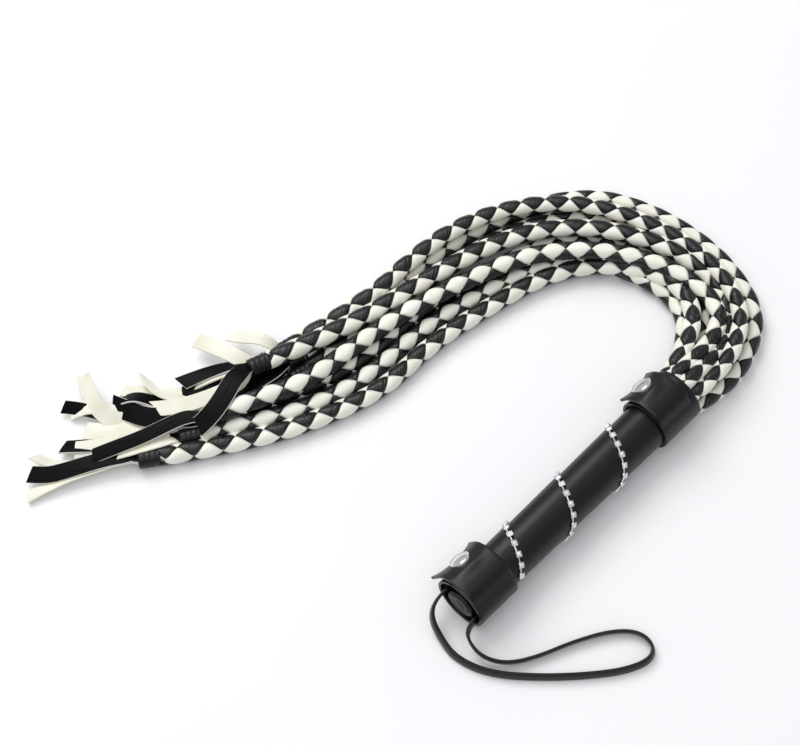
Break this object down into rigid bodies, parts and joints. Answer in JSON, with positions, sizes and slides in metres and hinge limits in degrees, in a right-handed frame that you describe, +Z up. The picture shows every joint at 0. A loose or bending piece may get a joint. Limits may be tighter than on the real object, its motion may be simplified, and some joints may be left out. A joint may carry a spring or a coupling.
{
  "type": "braided multi-tail whip",
  "caption": "Leather-wrapped whip handle with a chain of stones, two snap-closed collars, a wrist loop and round-braided two-colour tails ending in tassels.",
  "frame": {"origin": "on the surface that the whip lies on, under the middle of the handle with its collars and flaps", "axes": "+X along the handle from the butt to the tails, +Z up from the surface; the tails curve round towards +Y and run back towards -X"},
  "size_m": [0.3932, 0.3475, 0.0352],
  "materials": {
    "core_wood": "bare turned wood",
    "wrap_leather": "smooth satin",
    "collar_leather": "smooth satin",
    "strap_leather": "smooth satin",
    "snap_nickel": "polished nickel",
    "chain_silver": "polished",
    "stone_glass": "clear cut",
    "braid": "black and cream strands, soft sheen",
    "binding_leather": "satin",
    "tassel_black": "satin",
    "tassel_cream": "matte"
  },
  "bodies": {
    "handle": {"butt_collar": "collar_leather", "butt_disc": "collar_leather", "butt_snap_post": "snap_nickel", "butt_snap_stud": "snap_nickel", "chain_cups": "chain_silver", "chain_links": "chain_silver", "chain_stones": "stone_glass", "handle_core": "core_wood", "handle_wrap": "wrap_leather", "tail_a": "braid", "tail_b": "braid", "tail_binding_a": "binding_leather", "tail_binding_b": "binding_leather", "tail_binding_c": "binding_leather", "tail_binding_d": "binding_leather", "tail_binding_e": "binding_leather", "tail_binding_f": "binding_leather", "tail_binding_g": "binding_leather", "tail_binding_h": "binding_leather", "tail_c": "braid", "tail_d": "braid", "tail_e": "braid", "tail_f": "braid", "tail_fan": "braid", "tail_g": "braid", "tail_h": "braid", "tail_root_plug": "braid", "tails_collar": "collar_leather", "tails_snap_post": "snap_nickel", "tails_snap_stud": "snap_nickel", "tassel_black_a": "tassel_black", "tassel_black_b": "tassel_black", "tassel_black_c": "tassel_black", "tassel_black_d": "tassel_black", "tassel_black_e": "tassel_black", "tassel_black_f": "tassel_black", "tassel_black_g": "tassel_black", "tassel_black_h": "tassel_black", "tassel_cream_a": "tassel_cream", "tassel_cream_b": "tassel_cream", "tassel_cream_c": "tassel_cream", "tassel_cream_d": "tassel_cream", "tassel_cream_e": "tassel_cream", "tassel_cream_f": "tassel_cream", "tassel_cream_g": "tassel_cream", "tassel_cream_h": "tassel_cream", "wrist_strap": "strap_leather"},
    "butt_flap_body": {"butt_flap": "collar_leather", "butt_snap_cap": "snap_nickel", "butt_snap_socket": "snap_nickel"},
    "tails_flap_body": {"tails_flap": "collar_leather", "tails_snap_cap": "snap_nickel", "tails_snap_socket": "snap_nickel"}
  },
  "joints": [
    {"name": "butt_flap_hinge", "type": "hinge", "parent": "handle", "child": "butt_flap_body", "pos_m": [-0.0755, -0.00716, 0.03392], "axis": [1, 0, 0], "range_deg": [0, 80]},
    {"name": "tails_flap_hinge", "type": "hinge", "parent": "handle", "child": "tails_flap_body", "pos_m": [0.073, -0.00716, 0.03392], "axis": [1, 0, 0], "range_deg": [0, 80]}
  ]
}
